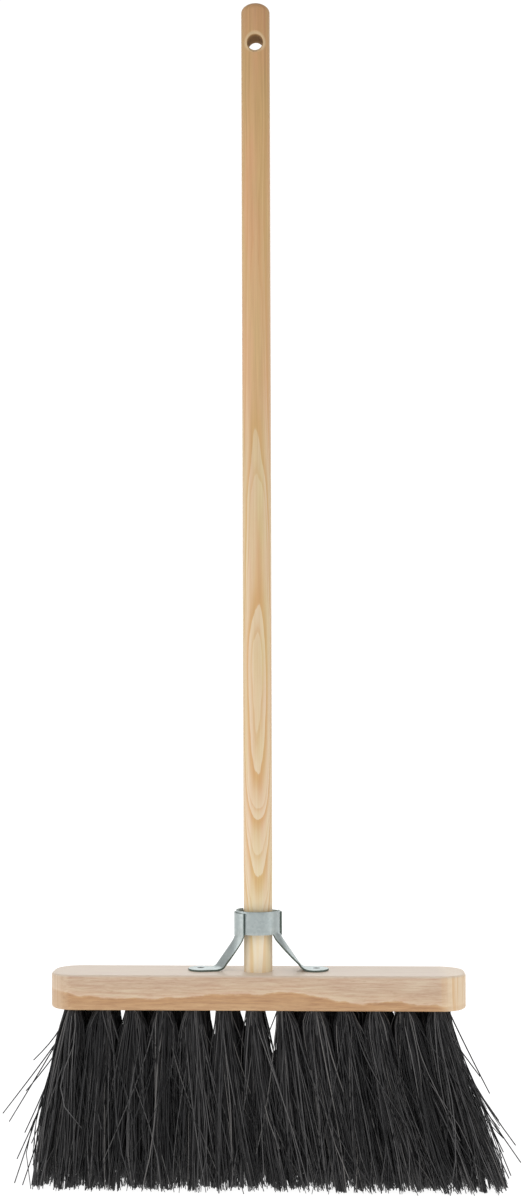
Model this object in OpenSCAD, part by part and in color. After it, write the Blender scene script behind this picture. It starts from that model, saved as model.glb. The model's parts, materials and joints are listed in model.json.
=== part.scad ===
// Push broom: a wooden block filled with tufts of stiff fibre, a round handle that stands in a
// socket in the block, and a two-part sheet-steel stay whose rings pass round the handle.
// Millimetres, +Z up. The origin is on the floor, under the middle of the handle, at the fibre tips.

/* [Block] */
// Length of the block, side to side
block_l = 404; // [380:1:420]
// Depth of the block, front to back
block_d = 65; // [58:1:66]
// Thickness of the block
block_h = 34; // [34:1:40]
// Radius of the block's corners, seen from above
corner_r = 25; // [20:1:28]
// Radius of the rounding along the block's edges
edge_r = 2.5; // [1:0.5:4]

/* [Handle] */
// Diameter of the handle
handle_d = 28; // [27:0.5:30]
// Height of the handle above the block
handle_rise = 947; // [600:1:1400]
// Depth of the socket that the handle stands in
socket_depth = 18; // [10:0.5:19]
// Diameter of the handle's lower end, turned down to fit the socket
tenon_d = 27; // [25:0.5:27]
// Gap between the handle's lower end and the socket's wall
socket_gap = 0.05; // [0.02:0.01:0.1]
// Diameter of the hole that the broom hangs by
hang_hole_d = 15; // [10:0.5:16]
// Distance of the hanging hole below the handle's top
hang_hole_drop = 41; // [30:1:60]

/* [Tufts] */
// Number of tufts along the block
columns = 13; // [9:2:13]
// Distance between tufts along the block, at their roots
column_pitch = 29.4; // [28:0.1:29.8]
// Distance between tufts along the block, at their tips
tip_pitch = 34.6; // [33:0.1:35]
// Distance from the middle row to the front and back rows, at the roots
row_pitch = 19; // [17:0.5:19]
// Sideways shift of each row's roots: the middle row one way, the outer rows the other
stagger = 3.5; // [0:0.5:5]
// Length of fibre below the block
fibre_l = 170; // [120:1:190]
// Diameter of the holes that the tufts are set in
tuft_hole_d = 16; // [12:0.5:16]
// Depth of the holes that the tufts are set in
tuft_hole_depth = 12; // [10:0.5:12]
// Width of all the tufts together at their tips, side to side
spread_l = 462; // [440:1:480]
// Depth of all the tufts together at their tips, front to back
spread_d = 108; // [90:1:120]
// Length of fibre below the block over which the tufts splay until they touch
splay_l = 40; // [20:1:80]

/* [Stay] */
// Thickness of the sheet steel
sheet_t = 1.8; // [1.5:0.1:2]
// Inner radius of the inner ring
ring_r = 19.7; // [18:0.1:21]
// Height of each ring's band
band_h = 22.5; // [18:0.5:25]
// Height of the right stay's ring above the block
right_band_z = 37.3; // [34:0.1:45]
// Height of the left stay's ring above the block
left_band_z = 35.2; // [32:0.1:43]
// Width of a leg where it leaves its ring
leg_top_w = 15; // [12:0.5:17]
// Width of a leg where it meets its foot
leg_foot_w = 20; // [16:0.5:24]
// Width of the feet
foot_w = 28; // [24:1:32]
// Distance of each screw from the handle's axis
screw_x = 57; // [54:0.5:58]

/* [Hidden] */
// Heights, from the floor up
block_z = fibre_l;
top_z = block_z + block_h;
socket_z = top_z - socket_depth;
handle_top_z = top_z + handle_rise;
hang_hole_z = handle_top_z - hang_hole_drop;

// Handle
handle_r = handle_d / 2;
dome_h = 9;
hang_chamfer = 3;
foot_chamfer = 1;

// Stay: each ring is a band that starts beside its leg and winds back round the handle. A leg
// starts inside its band, bends outwards just below it, and ends inside its foot. It is curved
// like its ring down to curved_drop below the band, and flat from flat_rise above the block.
ring_gap = 0.1;
left_ring_r = ring_r + sheet_t + ring_gap;
leg_inset = 0.15;
leg_start = 6;
leg_knee = 1;
leg_in_foot = 9;
curved_drop = 2;
flat_rise = 8;
bend_l = 5;
left_foot_x = -39;
right_foot_x = 44;
foot_end_x = 69;
foot_y = 4;
screw_y = 6;

// Screws: countersunk heads with a cross recess
screw_head_d = 6.8;
screw_shank_d = 3.6;
screw_l = 13;
screw_tip_l = 2.5;
screw_tip_d = 0.6;
screw_play = 0.6;
thread_d = screw_shank_d - 0.2;
head_cone_h = 1.6;
recess_l = 0.55 * screw_head_d;
recess_w = 0.9;
recess_depth = 0.8;

// Tufts and the staples they are folded over
root_gap = 0.05;
cell_gap = 0.3;
splay_corner_r = 6;
tip_corner_r = 5;
corner_points = 6;
staple_t = 0.8;
staple_w = 2;
staple_span = 8.4;
staple_fold = 1.6;
staple_bite = 4.5;

// Fewest facets that still give a smooth round shape
shell_fn = 48;
$fn = 72;

// Every tuft as [row, column]. The middle row has none under the handle's socket.
row_names = ["front", "middle", "back"];
middle_row = 1;
middle_column = (columns + 1) / 2;
TUFTS = [
    for (row = [0:2])
        for (column = [1:columns])
            if (row != middle_row || column != middle_column) [row, column]
];

function two_digits(n) = str(n < 10 ? "0" : "", n);
function tuft_name(t) = str(row_names[t[0]], "_tuft_", two_digits(t[1]));

// Triangles between the loops of points of neighbouring cross-sections
function side_faces(sections, loop) = [
    for (i = [0:sections - 2])
        for (k = [0:loop - 1])
            let (a = i * loop + k, b = i * loop + (k + 1) % loop)
                each [[a, a + loop, b], [b, a + loop, b + loop]]
];

// ---- Handle ----

// Half outline of the handle: a bevelled end that fills the socket, a small shoulder on the
// block, and straight sides under a low dome
function dome_points(r, h) = [for (a = [0:7.5:90]) [r * cos(a), h * sin(a)]];

module handle_shape() {
    tenon_r = tenon_d / 2;
    outline = concat(
        [[0, 0], [tenon_r - foot_chamfer, 0], [tenon_r, foot_chamfer]],
        [[tenon_r, socket_depth], [handle_r, socket_depth]],
        [for (p = dome_points(handle_r, dome_h)) [p[0], p[1] + handle_top_z - dome_h - socket_z]]
    );
    translate([0, 0, socket_z])
        rotate_extrude()
            polygon(outline);
}

// Drilled front to back, with both mouths countersunk
module hanging_hole() {
    wall = handle_r - hang_chamfer;
    mouth_r = hang_hole_d / 2 + hang_chamfer + 1;
    translate([0, 0, hang_hole_z])
        rotate([90, 0, 0]) {
            cylinder(d = hang_hole_d, h = 2 * handle_d, center = true);
            for (side = [0, 180])
                rotate([side, 0, 0])
                    translate([0, 0, wall])
                        cylinder(r1 = hang_hole_d / 2, r2 = mouth_r, h = hang_chamfer + 1);
        }
}

module handle() {
    color("burlywood")
        difference() {
            handle_shape();
            hanging_hole();
        }
}

// ---- Block ----

module block_corner() {
    rotate_extrude($fn = shell_fn)
        hull() {
            square([corner_r - edge_r, block_h]);
            for (z = [edge_r, block_h - edge_r])
                translate([corner_r - edge_r, z])
                    intersection() {
                        circle(r = edge_r, $fn = 16);
                        translate([0, -edge_r])
                            square([edge_r, 2 * edge_r]);
                    }
        }
}

module block_shape() {
    translate([0, 0, block_z])
        hull()
            for (x = [-1, 1], y = [-1, 1])
                translate([x * (block_l / 2 - corner_r), y * (block_d / 2 - corner_r), 0])
                    block_corner();
}

module at_root(t) {
    translate([root_x(t), root_y(t), block_z])
        children();
}

module at_each_root() {
    for (t = TUFTS)
        at_root(t)
            children();
}

module block() {
    color("wheat")
        difference() {
            block_shape();
            at_each_root()
                translate([0, 0, -1])
                    cylinder(d = tuft_hole_d, h = tuft_hole_depth + 1);
            at_each_root()
                staple();
            translate([0, 0, socket_z])
                cylinder(r = tenon_d / 2 + socket_gap, h = socket_depth + 1);
            for (side = [-1, 1])
                translate([side * screw_x, screw_y, top_z - screw_l + sheet_t])
                    cylinder(d = screw_shank_d, h = screw_l + 1);
        }
}

// ---- Stay ----

function mix(a, b, t) = a + (b - a) * t;
function unit(v) = v / norm(v);
function flat_dir(angle) = [cos(angle), sin(angle), 0];

// Points of the curve that rounds corner b of the line a-b-c, starting bend_l before the corner
function bend(a, b, c) = [
    for (t = [0:0.25:1])
        let (p = b + bend_l * unit(a - b), q = b + bend_l * unit(c - b))
            mix(mix(p, b, t), mix(b, q, t), t)
];

// The leg's middle line: down inside the band, out to the foot, then along inside the foot
function leg_line(ring_mid, band_z, foot, out) =
    let (
        start = ring_mid + [0, 0, band_z + leg_start],
        knee = ring_mid + [0, 0, band_z - leg_knee],
        end = foot + leg_in_foot * out
    )
    concat([start], bend(start, knee, foot), bend(knee, foot, end), [end]);

// One cross-section of a leg: a strip that is curved like its ring at the top and flat at the foot
function leg_section(p, along, across, w, sag, t) = let (out = unit(cross(across, along))) concat(
    [for (s = [-1:0.25:1]) p + across * s * w / 2 + out * (t / 2 - sag * s * s)],
    [for (s = [1:-0.25:-1]) p + across * s * w / 2 - out * (t / 2 + sag * s * s)]
);

module strip(sections) {
    loop = len(sections[0]);
    last = (len(sections) - 1) * loop;
    ends = [
        for (k = [0:loop / 2 - 2])
            let (m = loop - 1 - k)
                each [
                    [k, k + 1, m], [k + 1, m - 1, m],
                    [last + k, last + m, last + k + 1], [last + k + 1, last + m, last + m - 1]
                ]
    ];
    polyhedron(
        points = [for (s = sections) each s],
        faces = concat(side_faces(len(sections), loop), ends)
    );
}

module leg(r, angle, band_z, foot_x, foot_angle) {
    t = sheet_t - 2 * leg_inset;
    ring_mid = (r + sheet_t / 2) * flat_dir(angle) + [0, 0, top_z];
    foot = [foot_x, foot_y, top_z + sheet_t / 2];
    line = leg_line(ring_mid, band_z, foot, flat_dir(foot_angle));
    top_sag = (leg_top_w / 2) ^ 2 / (2 * (r + sheet_t / 2));
    count = len(line) - 1;
    strip([
        for (i = [0:count])
            let (
                fallen = band_z - curved_drop - (line[i][2] - top_z),
                fall = min(max(fallen / (band_z - curved_drop - flat_rise), 0), 1),
                along = line[min(i + 1, count)] - line[max(i - 1, 0)],
                across = flat_dir(mix(angle, foot_angle, fall) + 90),
                w = mix(leg_top_w, leg_foot_w, fall)
            )
                leg_section(line[i], along, across, w, top_sag * (1 - fall), t)
    ]);
}

// A plate with a round outer end, pointing along +X from its bend
module foot_plate(l) {
    linear_extrude(sheet_t)
        hull() {
            translate([0, -leg_foot_w / 2])
                square([1, leg_foot_w]);
            translate([l - foot_w / 2, 0])
                circle(d = foot_w, $fn = shell_fn);
        }
}

module screw_hole() {
    hole_d = screw_shank_d + screw_play;
    cylinder(d = hole_d, h = 3 * sheet_t, center = true);
    translate([0, 0, sheet_t - head_cone_h])
        cylinder(d1 = hole_d, d2 = screw_head_d + screw_play, h = head_cone_h + 0.01);
}

module foot(side, foot_x) {
    difference() {
        translate([foot_x, foot_y, top_z])
            rotate([0, 0, side < 0 ? 180 : 0])
                foot_plate(foot_end_x - abs(foot_x));
        translate([side * screw_x, screw_y, top_z])
            screw_hole();
    }
}

module band(r, z, start, angle) {
    translate([0, 0, top_z + z])
        rotate([0, 0, start])
            rotate_extrude(angle = angle)
                translate([r, 0])
                    square([sheet_t, band_h]);
}

module stay_left() {
    color("lightslategray")
        union() {
            band(left_ring_r, left_band_z, 2, 233);
            leg(left_ring_r, 214, left_band_z, left_foot_x, 195);
            foot(-1, left_foot_x);
        }
}

module stay_right() {
    color("lightslategray")
        union() {
            band(ring_r, right_band_z, -220, 219);
            leg(ring_r, -21, right_band_z, right_foot_x, 5);
            foot(1, right_foot_x);
        }
}

module screw() {
    difference() {
        union() {
            translate([0, 0, -head_cone_h])
                cylinder(d1 = thread_d, d2 = screw_head_d, h = head_cone_h);
            translate([0, 0, screw_tip_l - screw_l])
                cylinder(d = thread_d, h = screw_l - screw_tip_l - head_cone_h / 2);
            translate([0, 0, -screw_l])
                cylinder(d1 = screw_tip_d, d2 = thread_d, h = screw_tip_l);
        }
        for (turn = [20, 110])
            rotate([0, 0, turn])
                cube([recess_l, recess_w, 2 * recess_depth], center = true);
    }
}

module stay_screws() {
    color("dimgray")
        for (side = [-1, 1])
            translate([side * screw_x, screw_y, top_z + sheet_t])
                screw();
}

// ---- Tufts ----

function column_offset(t) = t[1] - middle_column;
function shift(t) = t[0] == middle_row ? stagger : -stagger;
function root_x(t) = column_pitch * column_offset(t) + shift(t);
function root_y(t) = row_pitch * (t[0] - middle_row);

// Sides of a tuft's cell, -1 or 1, at a share of the way down from the roots to the tips. The
// middle row's tufts beside the missing one meet under the handle.
function cell_x(t, side, down) =
    let (edge = column_offset(t) + side / 2, outer = abs(edge) > columns / 2 - 0.1)
    t[0] == middle_row && abs(edge) < 1
        ? 0
        : mix(
            column_pitch * edge + shift(t) * (1 - down) * (outer ? 0 : 1),
            outer ? sign(edge) * spread_l / 2 : tip_pitch * edge,
            down
        );
function cell_y(t, side, down) =
    let (edge = t[0] - middle_row + side / 2)
    edge * mix(row_pitch, spread_d / 3, down);

// Flat-wire staple, points up, its crown across the fold of a tuft. It stands at a hole's mouth.
module staple() {
    crown_z = tuft_hole_depth - staple_fold - staple_t;
    leg_l = staple_t + staple_fold + staple_bite;
    half = staple_span / 2;
    translate([0, staple_w / 2, crown_z])
        rotate([90, 0, 0])
            linear_extrude(staple_w)
                polygon([
                    [-half, 0], [half, 0], [half, leg_l], [half - staple_t, leg_l - 1],
                    [half - staple_t, staple_t], [staple_t - half, staple_t],
                    [staple_t - half, leg_l - 1], [-half, leg_l]
                ]);
}

module tuft_staples() {
    color("silver")
        at_each_root()
            staple();
}

// Loop of points round a rectangle with corners of radius r, centred at c, of size 2 * half
function rounded_loop(c, half, r, z) = [
    for (corner = [0:3])
        for (a = [90 * corner + 90 / corner_points / 2:90 / corner_points:90 * corner + 90])
            let (sx = sign(cos(90 * corner + 45)), sy = sign(sin(90 * corner + 45)))
                [c[0] + sx * (half[0] - r) + r * cos(a), c[1] + sy * (half[1] - r) + r * sin(a), z]
];

// Cross-section of a tuft at a share of the way down from the block to the tips
function cell_loop(t, down, r) =
    let (
        x = [for (side = [-1, 1]) cell_x(t, side, down) - side * cell_gap],
        y = [for (side = [-1, 1]) cell_y(t, side, down) - side * cell_gap]
    )
    rounded_loop([x[0] + x[1], y[0] + y[1]] / 2, [x[1] - x[0], y[1] - y[0]] / 2, r, block_z * (1 - down));

// A bunch of fibre: a round root folded over its staple, splaying until it fills its cell
module tuft(t) {
    root = [root_x(t), root_y(t)];
    root_r = tuft_hole_d / 2 - root_gap;
    sections = [
        rounded_loop(root, [root_r, root_r], root_r, block_z + tuft_hole_depth - root_gap),
        rounded_loop(root, [root_r, root_r], root_r, block_z - root_gap),
        cell_loop(t, splay_l / fibre_l, splay_corner_r),
        cell_loop(t, 1, tip_corner_r)
    ];
    loop = len(sections[0]);
    ends = [[for (k = [0:loop - 1]) k], [for (k = [loop - 1:-1:0]) 3 * loop + k]];
    color("dimgray")
        difference() {
            polyhedron(
                points = [for (s = sections) each s],
                faces = concat(side_faces(len(sections), loop), ends)
            );
            at_root(t)
                staple();
        }
}

handle();
block();
stay_left();
stay_right();
stay_screws();
tuft_staples();
for (t = TUFTS)
    tuft(t);
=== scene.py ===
"""Looks of the push broom: wood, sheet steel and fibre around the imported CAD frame. Metres, +Z up."""
import json
import math

import bmesh
import bpy
import numpy as np
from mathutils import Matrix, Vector


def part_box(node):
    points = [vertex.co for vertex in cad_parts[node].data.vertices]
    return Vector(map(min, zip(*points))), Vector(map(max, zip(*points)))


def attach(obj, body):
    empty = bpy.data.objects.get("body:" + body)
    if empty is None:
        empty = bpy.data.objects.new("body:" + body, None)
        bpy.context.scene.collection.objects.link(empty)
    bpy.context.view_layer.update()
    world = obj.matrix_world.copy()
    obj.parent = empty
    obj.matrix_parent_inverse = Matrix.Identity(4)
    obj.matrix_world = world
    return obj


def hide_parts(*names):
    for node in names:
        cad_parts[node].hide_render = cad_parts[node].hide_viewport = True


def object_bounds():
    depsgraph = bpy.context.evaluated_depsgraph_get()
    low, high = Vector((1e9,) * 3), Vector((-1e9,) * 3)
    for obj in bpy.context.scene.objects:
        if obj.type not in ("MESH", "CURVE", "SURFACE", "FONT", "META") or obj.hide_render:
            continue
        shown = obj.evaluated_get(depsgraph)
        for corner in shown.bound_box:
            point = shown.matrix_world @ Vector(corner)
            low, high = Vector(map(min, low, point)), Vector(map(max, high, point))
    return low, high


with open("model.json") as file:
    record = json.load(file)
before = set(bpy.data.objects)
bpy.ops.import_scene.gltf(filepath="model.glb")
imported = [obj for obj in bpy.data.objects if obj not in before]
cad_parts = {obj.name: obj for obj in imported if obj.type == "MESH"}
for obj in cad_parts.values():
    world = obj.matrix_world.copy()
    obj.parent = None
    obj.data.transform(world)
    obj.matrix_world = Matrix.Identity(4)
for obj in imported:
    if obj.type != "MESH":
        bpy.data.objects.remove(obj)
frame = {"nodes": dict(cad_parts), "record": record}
cad_lo, cad_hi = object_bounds()

MM = 0.001

# Sheet steel of the stay
SHEET_T = 1.8 * MM
EDGE_BEVEL = 0.3 * MM
BAND_H = 22.5 * MM
LEG_TOP_W = 15 * MM
LEG_FOOT_W = 20 * MM
FOOT_W = 28 * MM
FOOT_END_X = 69 * MM
FOOT_Y = 4 * MM
BEND_L = 6 * MM
SCREW_Y = 6 * MM
SCREW_X = 57 * MM
SCREW_HOLE_R = 2.1 * MM
HEAD_HOLE_R = 3.7 * MM
HEAD_HOLE_H = 1.6 * MM
ROW_STEP = 1.6 * MM         # between rows of points along a leg
TOE_HALF_W = 0.6 * MM       # half the width at which a foot's round end is cut off
LEG_CURVED_DROP = 2 * MM    # how far below its band a leg starts to flatten
LEG_FLAT_RISE = 8 * MM      # how far above the block it is flat

# Fibre
STRANDS = 135
SIDES = 3
STRAND_R = (0.38 * MM, 0.68 * MM)
STRAY_R = 0.80 * MM
SPLAY_RINGS = 10
CROWN_TOP = 10.4 * MM
MOUTH_R = 7.3 * MM
COLUMNS = 13
TIP_SHIFT = 11.5 * MM
TIP_SCALE = 0.985
LIMIT_X = 253 * MM
LIMIT_Y = 63 * MM

# How far down the gaps between columns close, as a share of the strands' length: the gaps that show
# below the block, by the column on their left, then all others, in the front row and behind it
OPEN_GAPS = {2: 0.16, 5: 0.50, 6: 0.45, 7: 1.0, 11: 0.05}
FRONT_CLOSE_SHARE = 0.06
CLOSE_SHARE = 0.02

# Strands of a tuft draw together into LOCKS bunches. Some stray wide of theirs, more of them in the
# front row, and some are short
LOCKS = 12
FRONT_WILD_SHARE = 0.20
WILD_SHARE = 0.08
SHORT_SHARE = 0.08

# Strands that stand out at the ends: tuft, then where each one's tip is (x, y, z), in mm
STRAYS = {
    "middle_tuft_01": ((-251, -8, 64), (-247, 4, 53), (-229, -3, 85), (-226, 10, 30)),
    "front_tuft_01": ((-216, -34, 122), (-224, -38, 53), (-232, -36, 27), (-233, -44, 6), (-226, -40, 3)),
    "front_tuft_13": ((247, -36, 44), (252.5, -30, 26), (214, -30, 108), (240, -42, 14)),
    "middle_tuft_13": ((226, 4, 84), (246, 0, 5), (238, -8, 30)),
}


# ---- Camera, light and floor ----

def make_camera():
    """Level camera in front of the broom and a little to its right, with a slight lean."""
    data = bpy.data.cameras.new("camera")
    data.sensor_fit = "AUTO"
    data.sensor_width = 36
    data.lens = 52.17
    data.shift_y = 0.0742
    camera = bpy.data.objects.new("camera", data)
    turn = math.radians(2.4)
    lean = math.radians(0.17)
    aside, back, height = 0.0055, 1.705, 0.480
    camera.location = (
        aside * math.cos(turn) + back * math.sin(turn),
        aside * math.sin(turn) - back * math.cos(turn),
        height,
    )
    camera.rotation_euler = (math.pi / 2, lean, turn)
    bpy.context.scene.collection.objects.link(camera)
    bpy.context.scene.camera = camera


def make_area_light(name, place, target, size, radiance):
    """A soft box of size (width, height) at place, facing target."""
    data = bpy.data.lights.new(name, "AREA")
    data.shape = "RECTANGLE"
    data.size, data.size_y = size
    data.energy = radiance * math.pi * size[0] * size[1]
    light = bpy.data.objects.new(name, data)
    light.location = place
    light.rotation_euler = (Vector(target) - Vector(place)).to_track_quat("-Z", "Y").to_euler()
    bpy.context.scene.collection.objects.link(light)


def make_world(seen, lit):
    """White surroundings that look seen bright and light the broom with strength lit."""
    world = bpy.data.worlds.new("studio")
    world.use_nodes = True
    tree = world.node_tree
    tree.nodes.clear()
    path = tree.nodes.new("ShaderNodeLightPath")
    strength = tree.nodes.new("ShaderNodeMapRange")
    background = tree.nodes.new("ShaderNodeBackground")
    output = tree.nodes.new("ShaderNodeOutputWorld")
    strength.inputs["To Min"].default_value = lit
    strength.inputs["To Max"].default_value = seen
    background.inputs["Color"].default_value = (1, 1, 1, 1)
    tree.links.new(path.outputs["Is Camera Ray"], strength.inputs["Value"])
    tree.links.new(strength.outputs["Result"], background.inputs["Strength"])
    tree.links.new(background.outputs["Background"], output.inputs["Surface"])
    bpy.context.scene.world = world


def make_floor(half=30.0):
    """A plain pale floor, half metres from its middle to each side."""
    mesh = bpy.data.meshes.new("floor")
    corners = [(-half, -half, 0), (half, -half, 0), (half, half, 0), (-half, half, 0)]
    mesh.from_pydata(corners, [], [(0, 1, 2, 3)])
    floor = bpy.data.objects.new("floor", mesh)
    bpy.context.scene.collection.objects.link(floor)
    paint = Paint("floor", (0.25, 0.25, 0.25), roughness=0.9)
    paint.set("Emission Color", (1, 1, 1, 1))
    paint.set("Emission Strength", 0.94)
    paint.set("Specular IOR Level", 0.0)
    mesh.materials.append(paint.material)


# ---- Material helpers ----

def seen_colour(r, g, b):
    """Linear colour of 0-255 display values."""
    return tuple(((v / 255 + 0.055) / 1.055) ** 2.4 for v in (r, g, b)) + (1,)


def seen_stops(*stops):
    """Ramp stops of display colours, from (position, r, g, b)."""
    return [(position, seen_colour(r, g, b)) for position, r, g, b in stops]


class Paint:
    """One node-based material around a Principled shader."""

    def __init__(self, name, base, roughness, metallic=0.0):
        self.material = bpy.data.materials.new(name)
        self.material.use_nodes = True
        self.material.diffuse_color = tuple(base[:3]) + (1,)
        self.tree = self.material.node_tree
        self.shader = self.tree.nodes["Principled BSDF"]
        self.set("Base Color", tuple(base[:3]) + (1,))
        self.set("Roughness", roughness)
        self.set("Metallic", metallic)
        self.coordinates = None

    def set(self, socket, value):
        self.shader.inputs[socket].default_value = value

    def node(self, kind, inputs=None, **settings):
        made = self.tree.nodes.new("ShaderNode" + kind)
        for name, value in settings.items():
            setattr(made, name, value)
        for name, value in (inputs or {}).items():
            self.feed(made.inputs[name], value)
        return made

    def feed(self, socket, value):
        if isinstance(value, bpy.types.NodeSocket):
            self.tree.links.new(value, socket)
        else:
            socket.default_value = value

    def point(self):
        """The point in the object's own frame, in metres."""
        if self.coordinates is None:
            self.coordinates = self.node("TexCoord").outputs["Object"]
        return self.coordinates

    def scaled(self, scale, offset=(0, 0, 0)):
        return self.node(
            "Mapping", {"Vector": self.point(), "Scale": scale, "Location": offset}
        ).outputs["Vector"]

    def math(self, operation, *values, clamp=False):
        made = self.node("Math", operation=operation, use_clamp=clamp)
        for socket, value in zip(made.inputs, values):
            self.feed(socket, value)
        return made.outputs[0]

    def distance(self, a, b):
        """Length of the flat vector (a, b)."""
        squares = self.math("ADD", self.math("MULTIPLY", a, a), self.math("MULTIPLY", b, b))
        return self.math("SQRT", squares)

    def noise(self, scale, detail=2.0, roughness=0.5, distortion=0.0, offset=(0, 0, 0)):
        """Noise from 0 to 1, at scale cells a metre along each axis."""
        return self.node(
            "TexNoise",
            {
                "Vector": self.scaled(scale, offset), "Scale": 1.0, "Detail": detail,
                "Roughness": roughness, "Distortion": distortion,
            },
        ).outputs["Fac"]

    def ramp(self, value, stops, interpolation="LINEAR"):
        """Colour of value along stops, a list of (position, colour)."""
        made = self.node("ValToRGB", {"Fac": value})
        band = made.color_ramp
        band.interpolation = interpolation
        while len(band.elements) < len(stops):
            band.elements.new(1.0)
        for element, (position, colour) in zip(band.elements, stops):
            element.position = position
            element.color = colour
        return made.outputs["Color"]

    def curve(self, value, points):
        """A smooth curve through points, each (value from 0 to 1, result from 0 to 1)."""
        made = self.node("FloatCurve", {"Value": value})
        line = made.mapping.curves[0]
        while len(line.points) < len(points):
            line.points.new(0.5, 0.5)
        for spot, place in zip(line.points, points):
            spot.location = place
            spot.handle_type = "AUTO_CLAMPED"
        made.mapping.update()
        return made.outputs["Value"]

    def between(self, value, low, high, to_low=0.0, to_high=1.0, smooth=True):
        return self.node(
            "MapRange",
            {"Value": value, "From Min": low, "From Max": high, "To Min": to_low, "To Max": to_high},
            interpolation_type="SMOOTHSTEP" if smooth else "LINEAR",
        ).outputs["Result"]

    def mix(self, factor, a, b, blend="MIX"):
        made = self.node("Mix", data_type="RGBA", blend_type=blend, clamp_factor=True)
        for name, value in (("Factor_Float", factor), ("A_Color", a), ("B_Color", b)):
            socket = next(s for s in made.inputs if s.identifier == name)
            self.feed(socket, value)
        return next(s for s in made.outputs if s.identifier == "Result_Color")

    def bump(self, height, strength, distance):
        made = self.node("Bump", {"Height": height, "Strength": strength, "Distance": distance})
        self.feed(self.shader.inputs["Normal"], made.outputs["Normal"])

    def feed_shader(self, **sockets):
        for name, value in sockets.items():
            self.feed(self.shader.inputs[name.replace("_", " ")], value)


# ---- Wood ----

def make_pine():
    """Turned pine: a tangential face with cathedral grain low down, straight orange grain above."""
    paint = Paint("pine", seen_colour(208, 172, 128), roughness=0.42)
    axes = paint.node("SeparateXYZ", {"Vector": paint.point()})
    x, y, z = axes.outputs
    low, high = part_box("handle")[0].z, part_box("handle")[1].z
    height = paint.between(z, low, high, smooth=False)

    # Distance from the tree's pith, behind the handle, drifting along its length
    pith_x, pith_y = -0.0015, 0.034
    side = paint.math("SUBTRACT", x, pith_x)
    depth = paint.math("SUBTRACT", y, pith_y)
    radius = paint.distance(side, depth)
    drift = paint.curve(height, [
        (0.00, 0.30), (0.05, 0.33), (0.085, 0.40), (0.105, 0.47), (0.165, 0.66), (0.225, 0.87),
        (0.31, 0.95), (0.395, 0.87), (0.48, 0.80), (0.555, 0.66), (0.62, 0.58), (1.0, 0.54),
    ])
    wander = paint.noise((30, 30, 4.5), detail=2)
    waver = paint.noise((85, 85, 13), detail=2, roughness=0.5, offset=(2, 4, 1))
    ring_gap = 0.0044
    front_ring = 7.05
    rings = paint.math("DIVIDE", radius, ring_gap)
    rings = paint.math("ADD", rings, paint.math("MULTIPLY", drift, 5.0))
    rings = paint.math("ADD", rings, wander)
    rings = paint.math("ADD", rings, paint.math("MULTIPLY", waver, 0.4))
    rings = paint.math("ADD", rings, front_ring)
    year = paint.math("FRACT", rings)
    late = paint.curve(year, [
        (0.0, 0.0), (0.25, 0.05), (0.6, 0.35), (0.85, 0.85), (0.965, 1.0), (1.0, 0.0),
    ])
    half_year = paint.math("FRACT", paint.math("ADD", paint.math("MULTIPLY", rings, 2.0), 0.35))
    thin = paint.curve(half_year, [(0.0, 0.0), (0.5, 0.04), (0.8, 0.34), (0.93, 0.55), (1.0, 0.0)])
    late = paint.math("MAXIMUM", late, thin)

    # Colours by height: darker towards the top, and much paler low down, where painted light makes up for
    # the shade that the stays and block cast on the handle's foot
    pale = paint.ramp(height, seen_stops(
        (0.00, 249, 234, 208), (0.055, 247, 231, 204), (0.10, 232, 211, 178),
        (0.30, 225, 202, 168), (0.52, 214, 190, 154), (0.62, 205, 169, 126),
        (0.85, 199, 159, 113), (0.95, 188, 147, 102), (1.0, 178, 139, 96),
    ))
    orange = paint.ramp(height, seen_stops(
        (0.00, 243, 216, 174), (0.055, 238, 208, 164), (0.10, 217, 178, 126),
        (0.30, 208, 166, 112), (0.52, 203, 164, 114), (0.70, 197, 155, 106),
        (0.85, 189, 147, 99), (0.95, 176, 136, 91), (1.0, 165, 126, 84),
    ))
    wood = paint.mix(late, pale, orange)
    fibres = paint.noise((1300, 1300, 16), detail=3, roughness=0.6)
    streaks = paint.noise((300, 300, 6), detail=2)
    patches = paint.noise((80, 80, 9), detail=2, offset=(7, 3, 5))
    wood = paint.mix(0.6, wood, paint.ramp(fibres, [
        (0.3, (0.42, 0.42, 0.42, 1)), (0.7, (0.58, 0.58, 0.58, 1)),
    ]), "OVERLAY")
    wood = paint.mix(0.6, wood, paint.ramp(streaks, [
        (0.3, (0.455, 0.455, 0.42, 1)), (0.7, (0.545, 0.54, 0.56, 1)),
    ]), "OVERLAY")
    wood = paint.mix(0.8, wood, paint.ramp(patches, [
        (0.35, (0.475, 0.515, 0.47, 1)), (0.65, (0.53, 0.485, 0.51, 1)),
    ]), "OVERLAY")

    # Hanging hole: painted shade darkens the wood inside it, and a pale ring lies round its mouth outside
    hole = next(m for m in frame["record"]["mounts"] if m["name"] == "hanging_hole")
    up = paint.math("SUBTRACT", z, hole["pos_m"][2])
    away = paint.distance(x, up)
    rim_starts, rim_full = 11.5 * MM, 9.0 * MM
    wall_starts, wall_full = 8.3 * MM, 7.7 * MM
    rim = paint.between(away, rim_starts, rim_full, 0.0, 0.6)
    wood = paint.mix(rim, wood, seen_colour(206, 184, 146))
    wood = paint.mix(paint.between(away, wall_starts, wall_full, 0.0, 0.95), wood, seen_colour(150, 114, 70))
    varnished = paint.between(fibres, 0.2, 0.8, 0.42, 0.54)
    rough = paint.math("MAXIMUM", varnished, paint.between(away, wall_starts, wall_full))
    paint.feed_shader(Base_Color=wood, Roughness=rough)
    paint.bump(paint.math("ADD", fibres, paint.math("MULTIPLY", late, -0.6)), 0.12, 0.0002)
    return paint.material


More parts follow.
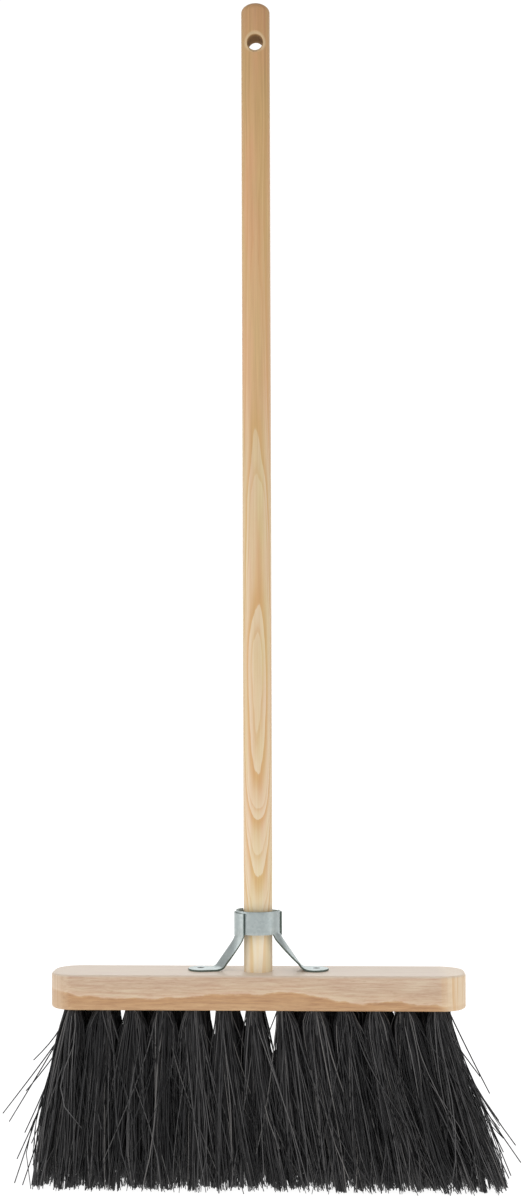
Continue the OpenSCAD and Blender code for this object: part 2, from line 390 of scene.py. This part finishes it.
def make_beech():
    """Planed beech: fine lines along the block, short dark flecks, a wavy orange band low on its faces."""
    paint = Paint("beech", seen_colour(202, 176, 148), roughness=0.55)
    axes = paint.node("SeparateXYZ", {"Vector": paint.point()})
    x, y, z = axes.outputs
    low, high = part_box("block")
    height = paint.between(z, low.z, high.z, smooth=False)
    along = paint.between(x, low.x, high.x, smooth=False)

    # The orange band's upper edge, as a share of the block's height, from the left end to the right
    edge = paint.curve(along, [
        (0.0, 0.54), (0.03, 0.50), (0.10, 0.38), (0.24, 0.34), (0.36, 0.41),
        (0.40, 0.46), (0.51, 0.47), (0.56, 0.52), (0.61, 0.48), (0.66, 0.37),
        (0.70, 0.27), (0.75, 0.21), (0.82, 0.29), (0.87, 0.20), (1.0, 0.14),
    ])
    ripple = paint.noise((60, 60, 90), detail=4, roughness=0.6, offset=(0.3, 0, 0))
    edge = paint.math("ADD", edge, paint.math("MULTIPLY", paint.math("SUBTRACT", ripple, 0.5), 0.22))
    level = paint.math("SUBTRACT", height, edge)
    level = paint.math("SUBTRACT", level, paint.math("MULTIPLY", paint.math("ADD", y, 0.03), 1.6))
    body = paint.ramp(paint.between(level, -0.5, 0.9, smooth=False), seen_stops(
        (0.00, 202, 165, 124), (0.20, 197, 157, 116), (0.335, 191, 148, 106),
        (0.365, 203, 166, 127), (0.385, 216, 189, 161), (0.46, 208, 181, 153),
        (0.62, 204, 178, 152), (0.75, 207, 182, 157), (1.0, 212, 189, 165),
    ))

    # Fine dark lines and short flecks run along the block
    lines = paint.noise((30, 430, 430), detail=5, roughness=0.75, distortion=0.15)
    wide_lines = paint.noise((8, 200, 200), detail=3, roughness=0.6, offset=(5, 2, 1))
    flecks = paint.noise((110, 620, 620), detail=1, offset=(3, 1, 7))
    fleck = paint.between(flecks, 0.62, 0.72)
    wood = paint.mix(1.0, body, paint.ramp(lines, [
        (0.30, (0.34, 0.32, 0.30, 1)), (0.5, (0.49, 0.485, 0.48, 1)), (0.70, (0.60, 0.61, 0.62, 1)),
    ]), "OVERLAY")
    wood = paint.mix(0.6, wood, paint.ramp(wide_lines, [
        (0.3, (0.43, 0.415, 0.40, 1)), (0.5, (0.49, 0.487, 0.484, 1)), (0.7, (0.545, 0.55, 0.555, 1)),
    ]), "OVERLAY")
    wood = paint.mix(paint.math("MULTIPLY", fleck, 0.32), wood, seen_colour(176, 139, 106))

    # End grain on the rounded ends: paler, with upright streaks
    across = paint.math("ABSOLUTE", x)
    end = paint.between(across, high.x - 0.024, high.x - 0.008)
    upright = paint.noise((420, 420, 14), detail=4, roughness=0.65, offset=(1, 2, 3))
    end_wood = paint.mix(0.55, body, paint.ramp(upright, seen_stops(
        (0.30, 186, 158, 128), (0.5, 208, 184, 156), (0.70, 222, 203, 178),
    )))
    wood = paint.mix(paint.math("MULTIPLY", end, 0.8), wood, end_wood)

    # The right end is yellower, with upright orange streaks
    right_end = paint.between(x, high.x - 0.030, high.x - 0.014, 0.0, 0.55)
    wood = paint.mix(right_end, wood, seen_colour(240, 216, 180))
    streak = paint.between(paint.noise((300, 300, 9), detail=2, offset=(4, 2, 6)), 0.50, 0.62)
    wood = paint.mix(paint.math("MULTIPLY", streak, right_end), wood, seen_colour(212, 168, 116))

    # The planed top is paler: painted light, as if lit from above
    top = paint.between(z, high.z - 2.4 * MM, high.z - 0.4 * MM)
    wood = paint.mix(paint.math("MULTIPLY", top, 0.5), wood, seen_colour(232, 221, 207))
    paint.feed_shader(Base_Color=wood, Roughness=paint.between(lines, 0.2, 0.8, 0.40, 0.54))
    paint.bump(paint.math("SUBTRACT", lines, paint.math("MULTIPLY", fleck, 0.5)), 0.25, 0.0002)
    return paint.material


# ---- Metal and fibre ----

def make_zinc():
    """Zinc-plated sheet: dull bluish grey with a faint spangle, with painted shade darkening the feet."""
    paint = Paint("zinc", (0.435, 0.485, 0.48), roughness=0.40, metallic=1.0)
    spangle = paint.node(
        "TexVoronoi", {"Vector": paint.scaled((1, 1, 1)), "Scale": 420.0, "Randomness": 1.0}
    ).outputs["Color"]
    cloud = paint.noise((90, 90, 90), detail=4, roughness=0.6)
    speck = paint.noise((1500, 1500, 1500), detail=2)
    tone = paint.math("ADD", paint.math("MULTIPLY", spangle, 0.35), paint.math("MULTIPLY", cloud, 0.65))
    colour = paint.ramp(tone, [
        (0.3, (0.375, 0.425, 0.425, 1)), (0.55, (0.435, 0.485, 0.48, 1)), (0.8, (0.49, 0.53, 0.525, 1)),
    ])
    up = paint.node("SeparateXYZ", {"Vector": paint.point()}).outputs["Z"]
    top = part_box("block")[1].z
    # Painted shade: the colour darkens over the last few millimetres above the block's top, on the feet
    painted_foot_shade = paint.between(up, top + 5 * MM, top + 2 * MM, 0.0, 0.45)
    colour = paint.mix(painted_foot_shade, colour, (0.30, 0.355, 0.345, 1))
    paint.feed_shader(Base_Color=colour, Roughness=paint.between(cloud, 0.3, 0.7, 0.36, 0.48))
    paint.bump(paint.math("ADD", cloud, paint.math("MULTIPLY", speck, 0.3)), 0.15, 0.0003)
    return paint.material


def make_cut_edge_with_painted_shade():
    """The sheared edge of the sheet, where the zinc is thin: dark greenish grey, with painted shade
    darkening the rims and cut ends further.
    """
    paint = Paint("cut_edge_with_painted_shade", (0.15, 0.19, 0.165), roughness=0.6, metallic=0.85)
    torn = paint.noise((900, 900, 900), detail=3)
    paint.feed_shader(
        Base_Color=paint.ramp(torn, [(0.35, (0.09, 0.12, 0.10, 1)), (0.7, (0.24, 0.29, 0.26, 1))]),
        Roughness=paint.between(torn, 0.3, 0.7, 0.5, 0.7),
    )
    paint.bump(torn, 0.3, 0.0002)
    return paint.material


def make_dark_steel():
    """Steel of the screws, painted dark as the shade in the recesses they sit in, with a mottle."""
    paint = Paint("dark_steel", (0.16, 0.17, 0.17), roughness=0.45, metallic=1.0)
    painted_shade_mottle = paint.noise((600, 600, 600), detail=3)
    paint.feed_shader(
        Base_Color=paint.ramp(painted_shade_mottle, [(0.35, (0.04, 0.042, 0.042, 1)), (0.7, (0.15, 0.155, 0.155, 1))]),
        Roughness=paint.between(painted_shade_mottle, 0.3, 0.7, 0.35, 0.6),
    )
    paint.bump(painted_shade_mottle, 0.2, 0.0002)
    return paint.material


def make_staple_wire():
    """Bright drawn wire of the staples."""
    paint = Paint("staple_wire", (0.55, 0.55, 0.53), roughness=0.35, metallic=1.0)
    drawn = paint.noise((80, 1500, 1500), detail=2)
    paint.feed_shader(
        Base_Color=paint.ramp(drawn, [(0.3, (0.42, 0.42, 0.40, 1)), (0.7, (0.62, 0.62, 0.60, 1))]),
        Roughness=paint.between(drawn, 0.3, 0.7, 0.28, 0.45),
    )
    return paint.material


def make_fibre():
    """Stiff plant fibre, near black. Each strand has its own tone, and mottles along its length."""
    paint = Paint("fibre", (0.020, 0.019, 0.019), roughness=0.45)
    tone = paint.node("Attribute", attribute_name="tone", attribute_type="GEOMETRY").outputs["Fac"]
    mottle = paint.noise((90, 90, 40), detail=3)
    mottled = paint.math("MULTIPLY", paint.math("SUBTRACT", mottle, 0.5), 0.25)
    shade = paint.math("ADD", tone, mottled, clamp=True)
    colour = paint.ramp(shade, [
        (0.00, (0.004, 0.004, 0.005, 1)), (0.35, (0.014, 0.0137, 0.0147, 1)),
        (0.60, (0.047, 0.0462, 0.0478, 1)), (0.85, (0.118, 0.1145, 0.1155, 1)),
        (1.0, (0.154, 0.146, 0.141, 1)),
    ])
    paint.feed_shader(Base_Color=colour, Roughness=paint.between(mottle, 0.3, 0.7, 0.36, 0.52))
    return paint.material


# ---- Sheet-steel stays ----

def flat_dir(angle):
    return Vector((math.cos(math.radians(angle)), math.sin(math.radians(angle)), 0))


def bend(a, b, c, steps=8):
    """Points of the curve that rounds corner b of the line a-b-c."""
    p = b + (a - b).normalized() * BEND_L
    q = b + (c - b).normalized() * BEND_L
    return [p.lerp(b, t).lerp(b.lerp(q, t), t) for t in (i / steps for i in range(steps + 1))]


def along_line(points, spacing):
    """The line through points with a point added wherever a stretch is longer than spacing."""
    out = [points[0]]
    for a, b in zip(points, points[1:]):
        parts = max(1, round((b - a).length / spacing))
        out += [a.lerp(b, k / parts) for k in range(1, parts + 1)]
    return out


def foot_half_width(from_end, length):
    """Half width of a foot at a distance from its round outer end."""
    round_r = FOOT_W / 2
    if from_end < round_r:
        return math.sqrt(max(round_r ** 2 - (round_r - from_end) ** 2, 0))
    share = (from_end - round_r) / (length - round_r)
    return round_r + (LEG_FOOT_W / 2 - round_r) * share


def make_stay(name, node, ring_r, band_z, start, end, foot_x, foot_angle, materials):
    """One stay: a band of sheet round the handle from start to end, in degrees, with a leg that leaves
    its last part downwards, and a foot."""
    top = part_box("block")[1].z
    mid_r = ring_r + SHEET_T / 2
    side = math.copysign(1, foot_x)
    turn = math.degrees(LEG_TOP_W / 2 / mid_r)
    leg_angle = end - turn
    across_steps, band_rows = 12, 8
    verts, faces = [], []

    def add_grid(rows):
        """Quads between neighbouring rows of vertex numbers."""
        for upper, lower in zip(rows, rows[1:]):
            for k in range(len(upper) - 1):
                faces.append((upper[k], upper[k + 1], lower[k + 1], lower[k]))

    # Band: columns of points by angle, with one column on each point of the leg's top edge
    leg_angles = [leg_angle + turn * (2 * k / across_steps - 1) for k in range(across_steps + 1)]
    step = 2 * turn / across_steps

    def run(a, b):
        count = max(0, math.ceil(abs(b - a) / step - 0.01))
        return [a + (b - a) * k / count for k in range(count)] if count else []

    angles = run(start, leg_angles[0]) + leg_angles
    first = angles.index(leg_angles[0])
    band = []
    for row in range(band_rows + 1):
        z = top + band_z + BAND_H * (1 - row / band_rows)
        band.append([])
        for angle in angles:
            band[-1].append(len(verts))
            verts.append(flat_dir(angle) * mid_r + Vector((0, 0, z)))
    add_grid(band)

    # Leg and foot: rows of points across a line that leaves the band's lower edge
    ring_mid = flat_dir(leg_angle) * mid_r
    knee = ring_mid + Vector((0, 0, top + band_z - 1 * MM))
    above = knee + Vector((0, 0, 20 * MM))
    corner = Vector((foot_x, FOOT_Y, top + SHEET_T / 2))
    toe = Vector((side * FOOT_END_X, FOOT_Y, corner.z))
    line = [p for p in bend(above, knee, corner) if p.z < top + band_z - 0.5 * MM]
    line = [ring_mid + Vector((0, 0, top + band_z))] + line
    line = along_line(line + bend(knee, corner, toe) + [toe], ROW_STEP)
    lengths = [0.0]
    for a, b in zip(line, line[1:]):
        lengths.append(lengths[-1] + (b - a).length)
    total, foot_l = lengths[-1], (toe - corner).length
    rows = [band[-1][first:first + across_steps + 1]]
    for i in range(1, len(line)):
        p, from_end = line[i], total - lengths[i]
        fallen = top + band_z - LEG_CURVED_DROP - p.z
        fall = min(max(fallen / (band_z - LEG_CURVED_DROP - LEG_FLAT_RISE), 0), 1)
        into_foot = min(max(1 - from_end / foot_l, 0), 1)
        foot_turn = 270 if side < 0 else 90
        turned = leg_angle + (foot_angle - leg_angle) * fall
        facing = flat_dir(turned + 90).lerp(flat_dir(foot_turn), min(1, 2 * into_foot)).normalized()
        after = line[min(i + 1, len(line) - 1)]
        out = facing.cross(after - line[i - 1]).normalized() * -1
        if from_end < foot_l:
            half = foot_half_width(from_end, foot_l)
        else:
            half = (LEG_TOP_W + (LEG_FOOT_W - LEG_TOP_W) * fall) / 2
        half = max(half, TOE_HALF_W)
        curl = max((1 - fall) / mid_r, 1e-3)
        rows.append([])
        for k in range(across_steps + 1):
            arc = curl * half * (2 * k / across_steps - 1)
            rows[-1].append(len(verts))
            verts.append(p + facing * (math.sin(arc) / curl) - out * ((1 - math.cos(arc)) / curl))
    add_grid(rows)

    mesh = bpy.data.meshes.new(name)
    mesh.from_pydata(verts, [], faces)
    for material in materials:
        mesh.materials.append(material)
    piece = bpy.data.objects.new(name, mesh)
    bpy.context.scene.collection.objects.link(piece)
    solid = piece.modifiers.new("sheet", "SOLIDIFY")
    solid.thickness = SHEET_T
    solid.offset = 0
    solid.use_even_offset = True
    solid.material_offset_rim = 1
    apply_modifiers(piece)
    drill(piece, (side * SCREW_X, SCREW_Y, top))
    edges = piece.modifiers.new("edges", "BEVEL")
    edges.width = EDGE_BEVEL
    edges.segments = 3
    edges.limit_method = "ANGLE"
    edges.angle_limit = math.radians(50)
    apply_modifiers(piece)
    smooth(piece, 40)
    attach(piece, "head")
    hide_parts(node)


def apply_modifiers(piece):
    """Turns a piece's modifiers into its mesh."""
    evaluated = piece.evaluated_get(bpy.context.evaluated_depsgraph_get())
    mesh = bpy.data.meshes.new_from_object(evaluated)
    piece.modifiers.clear()
    piece.data = mesh


def smooth(piece, angle):
    """Smooth shading across edges flatter than angle degrees."""
    piece.data.shade_smooth()
    piece.data.set_sharp_from_angle(angle=math.radians(angle))


def drill(piece, place):
    """Cuts a countersunk screw hole through a foot that stands at place."""
    cutter_mesh = bpy.data.meshes.new("cutter")
    shape = bmesh.new()
    profile = [
        (SCREW_HOLE_R, -SHEET_T), (SCREW_HOLE_R, SHEET_T - HEAD_HOLE_H),
        (HEAD_HOLE_R, SHEET_T), (HEAD_HOLE_R, 2 * SHEET_T),
    ]
    count = 48
    rings = [
        [shape.verts.new((r * math.cos(2 * math.pi * k / count), r * math.sin(2 * math.pi * k / count), z))
         for k in range(count)]
        for r, z in profile
    ]
    for lower, upper in zip(rings, rings[1:]):
        for k in range(count):
            shape.faces.new((lower[k], lower[(k + 1) % count], upper[(k + 1) % count], upper[k]))
    shape.faces.new(rings[0][::-1])
    shape.faces.new(rings[-1])
    shape.to_mesh(cutter_mesh)
    shape.free()
    cutter = bpy.data.objects.new("cutter", cutter_mesh)
    cutter.location = place
    bpy.context.scene.collection.objects.link(cutter)
    cut = piece.modifiers.new("cut", "BOOLEAN")
    cut.operation = "DIFFERENCE"
    cut.solver = "EXACT"
    cut.object = cutter
    apply_modifiers(piece)
    bpy.data.objects.remove(cutter)


# ---- Fibre tufts ----

def tuft_places(node):
    """From a CAD tuft: the centre of its root, and the lowest and highest corner of its tips. Last, the
    height of the block's underside."""
    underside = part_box("block")[0].z
    co = np.array([v.co for v in frame["nodes"][node].data.vertices])
    root = co[co[:, 2] > underside + 5 * MM]
    tips = co[co[:, 2] < 1 * MM]
    centre = (root.min(0) + root.max(0)) / 2
    return centre[:2], tips.min(0)[:2], tips.max(0)[:2], underside


def tuft_legs(rng, node, count, side_y):
    """Paths of count half-strands from the hole's mouth to the tips, as an array (count, rings, 3). Then
    their places in the mouth, the root, the underside's height, and which strands are wild. side_y is
    the side of the fold that they leave from: 1 is the broom's back, -1 its front."""
    root, tip_lo, tip_hi, underside = tuft_places(node)
    row, column = node.split("_")[0], int(node[-2:])
    reach = MOUTH_R * np.sqrt(rng.random(count))
    turn = np.pi * rng.random(count)
    mouth = np.stack([reach * np.cos(turn), side_y * reach * np.sin(turn)], 1)

    # Where each strand ends: its place in the mouth, spread over the tuft's cell and drawn into locks
    half = (tip_hi - tip_lo) / 2
    centre = (tip_hi + tip_lo) / 2
    fan = np.array([1.55, 1.05])
    scatter_mm = np.array([6.0, 3.0])
    spread = mouth / MOUTH_R * half * fan + rng.normal(0, 1, (count, 2)) * scatter_mm * MM
    locks = rng.uniform(-1, 1, (LOCKS, 2)) * half * fan
    nearest = np.argmin(((spread[:, None, :] - locks[None]) ** 2).sum(2), 1)
    own_share, lock_share = 0.55, 0.45
    spread = spread * own_share + locks[nearest] * lock_share
    tips = centre + spread
    tips[:, 0] = TIP_SHIFT + tips[:, 0] * TIP_SCALE
    wild = rng.random(count) < (FRONT_WILD_SHARE if row == "front" else WILD_SHARE)
    tips[:, 0] += wild * rng.normal(0, 24 * MM, count)
    tips[:, 1] -= wild * (row == "front") * rng.uniform(2, 9, count) * MM
    edge_lo = cad_lo.x + rng.uniform(14, 26, count) * MM
    edge_hi = cad_hi.x + rng.uniform(-3, 9, count) * MM
    tips[:, 0] = np.clip(tips[:, 0], edge_lo, edge_hi)

    lock_z = rng.uniform(0.4, 4.6, LOCKS) * MM
    tip_z = lock_z[nearest] + np.abs(rng.normal(0, 1.3 * MM, count))
    short = rng.random(count) < SHORT_SHARE
    tip_z += short * rng.random(count) * 60 * MM

    # How soon each strand leaves the straight line down: early at the left end, late at the right
    place = root[0] / cad_hi.x
    soon = 1.18 - 0.78 * max(0, -place) ** 3
    splay = (soon + rng.uniform(-0.10, 0.14, count))[:, None]
    share = (np.linspace(0, 1, SPLAY_RINGS + 1) ** 2)[None, :]
    least_splay = 0.36
    out = share ** np.maximum(splay, least_splay)

    # Beside a gap between tufts, strands turn out over the mouth's edge until they close it
    kick = np.zeros((count, SPLAY_RINGS + 1))
    for side, gap in ((-1, column - 1), (1, column)):
        if gap in (0, COLUMNS):
            continue
        closed = OPEN_GAPS.get(gap, FRONT_CLOSE_SHARE if row == "front" else CLOSE_SHARE)
        eager = (side * mouth[:, 0] > 1.5 * MM) & (rng.random(count) < (0.6 if row == "front" else 0.85))
        widest = 7.0 if row == "front" or gap in OPEN_GAPS else 9.5
        push = side * eager * rng.uniform(2.0, widest, count) * MM
        kick += push[:, None] * (1 - np.exp(-(share / closed) ** 1.5)) * (1 - share) ** 1.5
    bow = rng.normal(0, 3.2 * MM, (count, 2)) + rng.normal(0, 3.4 * MM, (LOCKS, 2))[nearest]
    bow[:, 0] += wild * rng.normal(0, 12 * MM, count)
    wave = rng.normal(0, 1.6 * MM, (count, 2))
    path = np.zeros((count, SPLAY_RINGS + 1, 3))
    start = root + mouth
    for axis in (0, 1):
        path[:, :, axis] = (
            start[:, axis, None] * (1 - out) + tips[:, axis, None] * out
            + bow[:, axis, None] * np.sin(np.pi * share) * share
            + wave[:, axis, None] * np.sin(2 * np.pi * share)
        )
    path[:, :, 0] += kick
    path[:, :, 2] = underside * (1 - share) + tip_z[:, None] * share
    if side_y > 0:
        add_strays(path, STRAYS.get(node, ()), rng)
    path[:, :, 0] = np.clip(path[:, :, 0], -LIMIT_X, LIMIT_X)
    path[:, :, 1] = np.clip(path[:, :, 1], -LIMIT_Y, LIMIT_Y)
    return path, mouth, root, underside, wild


def add_strays(path, ends, rng):
    """Bends the first strands of path out to stand clear of the tuft, with their tips at ends."""
    share = np.linspace(0, 1, SPLAY_RINGS + 1) ** 2
    for k, end in enumerate(ends):
        start, tip = path[k, 0].copy(), np.array(end) * MM
        sag = rng.uniform(0.0, 5.0) * MM
        for axis in range(3):
            path[k, :, axis] = start[axis] * (1 - share) + tip[axis] * share
        path[k, :, 2] -= sag * np.sin(np.pi * share)
        path[k, :, 0] -= np.sign(tip[0]) * 0.8 * sag * np.sin(np.pi * share)
        path[k, :, 2] = np.maximum(path[k, :, 2], 0.5 * MM)


def fold(mouth_a, mouth_b, root, underside, rng):
    """Points that lead a strand from one side of its staple's crown over to the other."""
    count = len(mouth_a)
    rise = underside + CROWN_TOP
    over = np.zeros((count, 5, 3))
    heights = (rise - 5 * MM, rise - 1 * MM, rise + 0.8 * MM, rise - 1 * MM, rise - 5 * MM)
    mouths = {0: mouth_a, 4: mouth_b}
    crown_y = {1: 1.6 * MM, 2: 0.0, 3: -1.6 * MM}
    middle = (mouth_a[:, 0] + mouth_b[:, 0]) / 2 * 0.5
    for k, height in enumerate(heights):
        if k in mouths:
            over[:, k, 0] = (mouths[k][:, 0] + middle) / 2
            over[:, k, 1] = mouths[k][:, 1] * 0.75
        else:
            over[:, k, 0] = middle
            over[:, k, 1] = crown_y[k]
        over[:, k, 2] = height + rng.random(count) * 0.4 * MM
    over[:, :, :2] += root
    return over


def tube_mesh(name, paths, radii, tones):
    """One mesh of closed tubes along paths (count, rings, 3), with a radius at each ring."""
    count, rings, _ = paths.shape
    along = np.gradient(paths, axis=1)
    along /= np.linalg.norm(along, axis=2, keepdims=True)
    side = np.cross(along, np.array([0.31, 0.95, 0.05]))
    side /= np.linalg.norm(side, axis=2, keepdims=True)
    other = np.cross(along, side)
    turns = 2 * np.pi * np.arange(SIDES) / SIDES
    ring = (
        side[:, :, None, :] * np.cos(turns)[None, None, :, None]
        + other[:, :, None, :] * np.sin(turns)[None, None, :, None]
    )
    verts = paths[:, :, None, :] + ring * radii[:, :, None, None]
    verts = verts.reshape(-1, 3)
    first = (np.arange(count) * rings * SIDES)[:, None, None]
    level = (np.arange(rings - 1) * SIDES)[None, :, None]
    k = np.arange(SIDES)[None, None, :]
    a = first + level + k
    b = first + level + (k + 1) % SIDES
    quads = np.stack([a, b, b + SIDES, a + SIDES], -1).reshape(-1, 4)
    start_cap = (first[:, 0] + np.arange(SIDES)[::-1][None, :]).reshape(-1, SIDES)
    end_cap = (first[:, 0] + (rings - 1) * SIDES + np.arange(SIDES)[None, :]).reshape(-1, SIDES)
    mesh = bpy.data.meshes.new(name)
    mesh.vertices.add(len(verts))
    mesh.vertices.foreach_set("co", verts.astype(np.float32).ravel())
    loops = np.concatenate([quads.ravel(), start_cap.ravel(), end_cap.ravel()]).astype(np.int32)
    sizes = np.concatenate([np.full(len(quads), 4), np.full(2 * count, SIDES)])
    starts = np.concatenate([[0], np.cumsum(sizes)[:-1]]).astype(np.int32)
    mesh.loops.add(len(loops))
    mesh.loops.foreach_set("vertex_index", loops)
    mesh.polygons.add(len(sizes))
    mesh.polygons.foreach_set("loop_start", starts)
    mesh.update(calc_edges=True)
    mesh.validate()
    tone = mesh.attributes.new("tone", "FLOAT", "POINT")
    tone.data.foreach_set("value", np.repeat(tones, rings * SIDES).astype(np.float32))
    mesh.shade_smooth()
    return mesh


def make_tuft(node, seed, material):
    """A tuft of long strands, each folded over its staple so that both halves hang down."""
    rng = np.random.default_rng(seed)
    legs_a, mouth_a, root, underside, wild = tuft_legs(rng, node, STRANDS, 1)
    legs_b, mouth_b, _, _, _ = tuft_legs(rng, node, STRANDS, -1)
    over = fold(mouth_a, mouth_b, root, underside, rng)
    paths = np.concatenate([legs_a[:, ::-1], over, legs_b], 1)
    strays = len(STRAYS.get(node, ()))
    thick = rng.uniform(*STRAND_R, STRANDS)
    thick[:strays] = STRAY_R
    share = np.linspace(-1, 1, paths.shape[1])
    taper = 1 - 0.22 * np.abs(share) ** 4
    kind = rng.random(STRANDS)
    tones = np.where(kind < 0.62, rng.uniform(0.0, 0.40, STRANDS), rng.uniform(0.40, 0.78, STRANDS))
    tones = np.where((kind > 0.95) | wild & (kind > 0.5), rng.uniform(0.70, 1.0, STRANDS), tones)
    tones[:strays] = 0.35
    mesh = tube_mesh("fibres_" + node, paths, thick[:, None] * taper[None, :], tones)
    mesh.materials.append(material)
    piece = bpy.data.objects.new("fibres_" + node, mesh)
    bpy.context.scene.collection.objects.link(piece)
    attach(piece, "head")
    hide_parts(node)


# ---- The broom ----

def dress_node(node, material):
    """Gives a CAD node its material."""
    mesh = frame["nodes"][node].data
    mesh.materials.clear()
    mesh.materials.append(material)


bpy.context.scene.view_settings.view_transform = "Standard"
make_camera()
make_world(seen=1.05, lit=0.52)
make_floor()
make_area_light("key", (-0.6, -2.6, 2.4), (0, 0, 0.55), (2.2, 2.0), 1.2)
make_area_light("top_back", (0, 2.4, 1.3), (0, 0, 0.2), (3.4, 1.9), 1.3)
make_area_light("left_strip", (-2.3, -0.3, 0.9), (0, 0, 0.7), (0.8, 2.4), 2.2)
make_area_light("right_strip", (2.2, -0.8, 0.9), (0, 0, 0.7), (0.8, 2.4), 1.3)

dress_node("handle", make_pine())
dress_node("block", make_beech())
# The screws are painted dark as the shade of their countersunk holes
dress_node("stay_screws", make_dark_steel())
dress_node("tuft_staples", make_staple_wire())

# The second material, on the sheet's rims and cut ends, is dark partly as painted shade
sheet = (make_zinc(), make_cut_edge_with_painted_shade())
make_stay("left_stay_sheet", "stay_left", 21.6 * MM, 35.2 * MM, 2, 235, -39 * MM, 205, sheet)
make_stay("right_stay_sheet", "stay_right", 19.7 * MM, 37.3 * MM, -220, -1, 44 * MM, 5, sheet)

fibre = make_fibre()
tufts = sorted(name for name in frame["nodes"] if "_tuft_" in name)
for number, name in enumerate(tufts):
    make_tuft(name, 100 + number, fibre)
